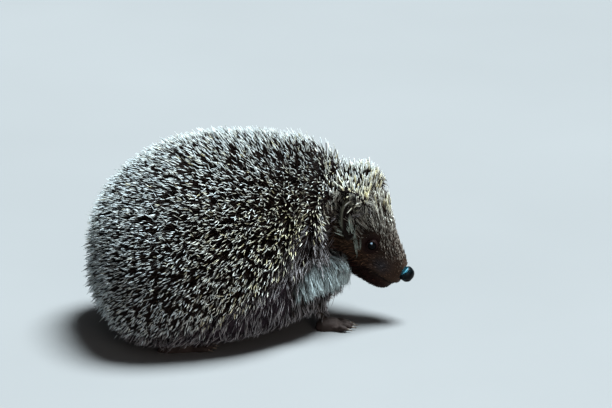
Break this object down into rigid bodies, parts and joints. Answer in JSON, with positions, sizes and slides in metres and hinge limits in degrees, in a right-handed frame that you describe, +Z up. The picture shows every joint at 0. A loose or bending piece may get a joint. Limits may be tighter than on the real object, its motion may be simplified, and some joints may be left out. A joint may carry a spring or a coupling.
{
  "type": "hedgehog",
  "caption": "Standing white-breasted hedgehog with its head lowered and turned to its right, a coat of banded white-tipped spines, dark face and pale breast.",
  "frame": {"origin": "on the floor, at the middle of the outline seen from above", "axes": "+X from the rump to the shoulders, +Y to the animal's left, +Z up"},
  "size_m": [0.2008, 0.123, 0.1265],
  "materials": {
    "spines": "banded keratin spines, dull, dark with off-white tips",
    "dark_fur": "coarse dark brown fur",
    "pale_fur": "long off-white fur",
    "bare_skin": "bare dark skin with sparse hair",
    "nose_skin": "moist black nose skin, glossy",
    "eye": "glossy black eye",
    "claw_horn": "horn, satin"
  },
  "bodies": {
    "root": {"belly": "dark_fur", "breast": "pale_fur", "claw_front_left_1": "claw_horn", "claw_front_left_2": "claw_horn", "claw_front_left_3": "claw_horn", "claw_front_left_4": "claw_horn", "claw_front_left_5": "claw_horn", "claw_front_right_1": "claw_horn", "claw_front_right_2": "claw_horn", "claw_front_right_3": "claw_horn", "claw_front_right_4": "claw_horn", "claw_front_right_5": "claw_horn", "claw_hind_left_1": "claw_horn", "claw_hind_left_2": "claw_horn", "claw_hind_left_3": "claw_horn", "claw_hind_left_4": "claw_horn", "claw_hind_left_5": "claw_horn", "claw_hind_right_1": "claw_horn", "claw_hind_right_2": "claw_horn", "claw_hind_right_3": "claw_horn", "claw_hind_right_4": "claw_horn", "claw_hind_right_5": "claw_horn", "crown": "spines", "ear_left": "bare_skin", "ear_right": "bare_skin", "eye_left": "eye", "eye_right": "eye", "foot_front_left": "bare_skin", "foot_front_right": "bare_skin", "foot_hind_left": "bare_skin", "foot_hind_right": "bare_skin", "head": "dark_fur", "hindquarters": "dark_fur", "leg_front_left": "dark_fur", "leg_front_right": "dark_fur", "leg_hind_left": "dark_fur", "leg_hind_right": "dark_fur", "lower_jaw": "dark_fur", "mantle_back": "spines", "mantle_rump": "spines", "mantle_shoulders": "spines", "neck": "spines", "nose": "nose_skin", "snout": "dark_fur", "tail": "dark_fur"}
  },
  "joints": []
}
